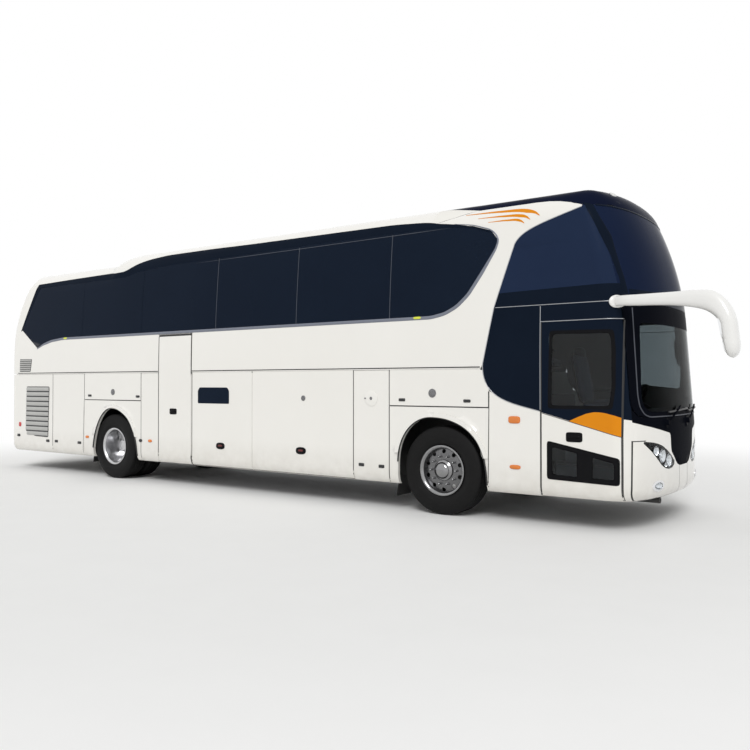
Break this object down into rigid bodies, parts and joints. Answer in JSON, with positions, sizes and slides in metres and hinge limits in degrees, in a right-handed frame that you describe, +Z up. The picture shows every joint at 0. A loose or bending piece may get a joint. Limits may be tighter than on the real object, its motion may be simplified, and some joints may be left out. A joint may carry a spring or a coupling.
{
  "type": "coach bus",
  "caption": "High-deck touring coach with a hollow glazed body, swing-out front door, hinged middle door, luggage flaps, engine lid, steered front wheels and twin rear wheels.",
  "frame": {"origin": "on the ground under the centre of the bounding box", "axes": "+X forward, +Y to the left of the coach, +Z up"},
  "size_m": [12.6718, 2.894, 3.675],
  "materials": {
    "white_paint": "gloss",
    "black_paint": "gloss",
    "tinted_glass": "gloss",
    "clear_glass": "gloss",
    "lamp_lens": "gloss",
    "red_lens": "gloss",
    "mirror_shell": "gloss",
    "floor_board": "matte",
    "frame_steel": "satin",
    "engine_block": "matte",
    "dash_plastic": "matte",
    "seat_fabric": "matte",
    "forged_steel": "matte",
    "bright_steel": "satin",
    "polished_wheel": "polished",
    "tyre_rubber": "matte"
  },
  "bodies": {
    "body": {"side_wall_right": "white_paint", "side_wall_left": "white_paint", "windows_right": "tinted_glass", "windows_left": "tinted_glass", "skirt_right": "white_paint", "skirt_left": "white_paint", "front_frame_right": "black_paint", "front_frame_left": "black_paint", "cab_glass": "tinted_glass", "windscreen_lower": "clear_glass", "windscreen_upper": "tinted_glass", "front_mask": "black_paint", "front_bumper": "white_paint", "headlamps": "lamp_lens", "roof": "white_paint", "roof_cap": "black_paint", "rear_panel": "white_paint", "rear_window": "tinted_glass", "tail_lamps": "red_lens", "mirrors": "mirror_shell", "floor": "floor_board", "underframe": "frame_steel", "engine": "engine_block", "dashboard": "dash_plastic", "seats": "seat_fabric", "front_axle": "frame_steel", "rear_axle": "frame_steel"},
    "steer_left": {"knuckle_left": "forged_steel"},
    "steer_right": {"knuckle_right": "forged_steel"},
    "tie_rod": {"tie_rod": "forged_steel"},
    "wheel_front_left": {"wheel_front_left": "polished_wheel", "tyre_front_left": "tyre_rubber"},
    "wheel_front_right": {"wheel_front_right": "polished_wheel", "tyre_front_right": "tyre_rubber"},
    "wheel_rear_left": {"wheel_rear_left": "polished_wheel", "tyre_rear_left": "tyre_rubber"},
    "wheel_rear_right": {"wheel_rear_right": "polished_wheel", "tyre_rear_right": "tyre_rubber"},
    "door_arm": {"door_arm": "bright_steel"},
    "front_door": {"front_door": "white_paint", "front_door_glass": "tinted_glass"},
    "middle_door": {"middle_door": "white_paint"},
    "engine_lid": {"engine_lid": "white_paint"},
    "flap_bay1_right": {"flap_bay1_right": "white_paint"},
    "flap_bay2_right": {"flap_bay2_right": "white_paint"},
    "hatch_front_right": {"hatch_front_right": "white_paint"},
    "hatch_rear_right": {"hatch_rear_right": "white_paint"},
    "flap_bay1_left": {"flap_bay1_left": "white_paint"},
    "flap_bay2_left": {"flap_bay2_left": "white_paint"},
    "hatch_front_left": {"hatch_front_left": "white_paint"},
    "hatch_rear_left": {"hatch_rear_left": "white_paint"}
  },
  "joints": [
    {"name": "steer_left_turn", "type": "hinge", "parent": "body", "child": "steer_left", "pos_m": [3.07, 0.88, 0.522], "axis": [0, 0, 1], "range_deg": [-38, 38]},
    {"name": "steer_right_turn", "type": "hinge", "parent": "body", "child": "steer_right", "pos_m": [3.07, -0.88, 0.522], "axis": [0, 0, 1], "range_deg": [-38, 38]},
    {"name": "tie_rod_turn", "type": "hinge", "parent": "steer_left", "child": "tie_rod", "pos_m": [2.82, 0.88, 0.33], "axis": [0, 0, 1], "range_deg": [-38, 38]},
    {"name": "wheel_front_left_spin", "type": "hinge", "parent": "steer_left", "child": "wheel_front_left", "pos_m": [3.07, 1.0875, 0.522], "axis": [0, 1, 0], "continuous": true},
    {"name": "wheel_front_right_spin", "type": "hinge", "parent": "steer_right", "child": "wheel_front_right", "pos_m": [3.07, -1.0875, 0.522], "axis": [0, 1, 0], "continuous": true},
    {"name": "wheel_rear_left_spin", "type": "hinge", "parent": "body", "child": "wheel_rear_left", "pos_m": [-3.13, 1.0875, 0.522], "axis": [0, 1, 0], "continuous": true},
    {"name": "wheel_rear_right_spin", "type": "hinge", "parent": "body", "child": "wheel_rear_right", "pos_m": [-3.13, -1.0875, 0.522], "axis": [0, 1, 0], "continuous": true},
    {"name": "door_arm_swing", "type": "hinge", "parent": "body", "child": "door_arm", "pos_m": [5.09, -1.06, 1.3], "axis": [0, 0, 1], "range_deg": [0, 146]},
    {"name": "front_door_swing", "type": "hinge", "parent": "door_arm", "child": "front_door", "pos_m": [4.66, -1.06, 1.3], "axis": [0, 0, 1], "range_deg": [-146, 0]},
    {"name": "middle_door_hinge", "type": "hinge", "parent": "body", "child": "middle_door", "pos_m": [-1.23, -1.266, 1.1], "axis": [0, 0, 1], "range_deg": [0, 85]},
    {"name": "flap_bay1_right_hinge", "type": "hinge", "parent": "body", "child": "flap_bay1_right", "pos_m": [-0.59, -1.266, 1.71], "axis": [-1, 0, 0], "range_deg": [0, 85]},
    {"name": "flap_bay2_right_hinge", "type": "hinge", "parent": "body", "child": "flap_bay2_right", "pos_m": [0.92, -1.266, 1.71], "axis": [-1, 0, 0], "range_deg": [0, 85]},
    {"name": "hatch_front_right_hinge", "type": "hinge", "parent": "body", "child": "hatch_front_right", "pos_m": [2.98, -1.266, 1.71], "axis": [-1, 0, 0], "range_deg": [0, 85]},
    {"name": "hatch_rear_right_hinge", "type": "hinge", "parent": "body", "child": "hatch_rear_right", "pos_m": [-3.14, -1.266, 1.71], "axis": [-1, 0, 0], "range_deg": [0, 85]},
    {"name": "flap_bay1_left_hinge", "type": "hinge", "parent": "body", "child": "flap_bay1_left", "pos_m": [-0.97, 1.266, 1.71], "axis": [1, 0, 0], "range_deg": [0, 85]},
    {"name": "flap_bay2_left_hinge", "type": "hinge", "parent": "body", "child": "flap_bay2_left", "pos_m": [0.92, 1.266, 1.71], "axis": [1, 0, 0], "range_deg": [0, 85]},
    {"name": "hatch_front_left_hinge", "type": "hinge", "parent": "body", "child": "hatch_front_left", "pos_m": [2.98, 1.266, 1.71], "axis": [1, 0, 0], "range_deg": [0, 85]},
    {"name": "hatch_rear_left_hinge", "type": "hinge", "parent": "body", "child": "hatch_rear_left", "pos_m": [-3.14, 1.266, 1.71], "axis": [1, 0, 0], "range_deg": [0, 85]},
    {"name": "engine_lid_hinge", "type": "hinge", "parent": "body", "child": "engine_lid", "pos_m": [-6.326, 0, 1.652], "axis": [0, 1, 0], "range_deg": [0, 70]}
  ],
  "couplings": [
    {"joint": "steer_right_turn", "follows": "steer_left_turn", "ratio": 1},
    {"joint": "tie_rod_turn", "follows": "steer_left_turn", "ratio": -1},
    {"joint": "front_door_swing", "follows": "door_arm_swing", "ratio": -1}
  ]
}
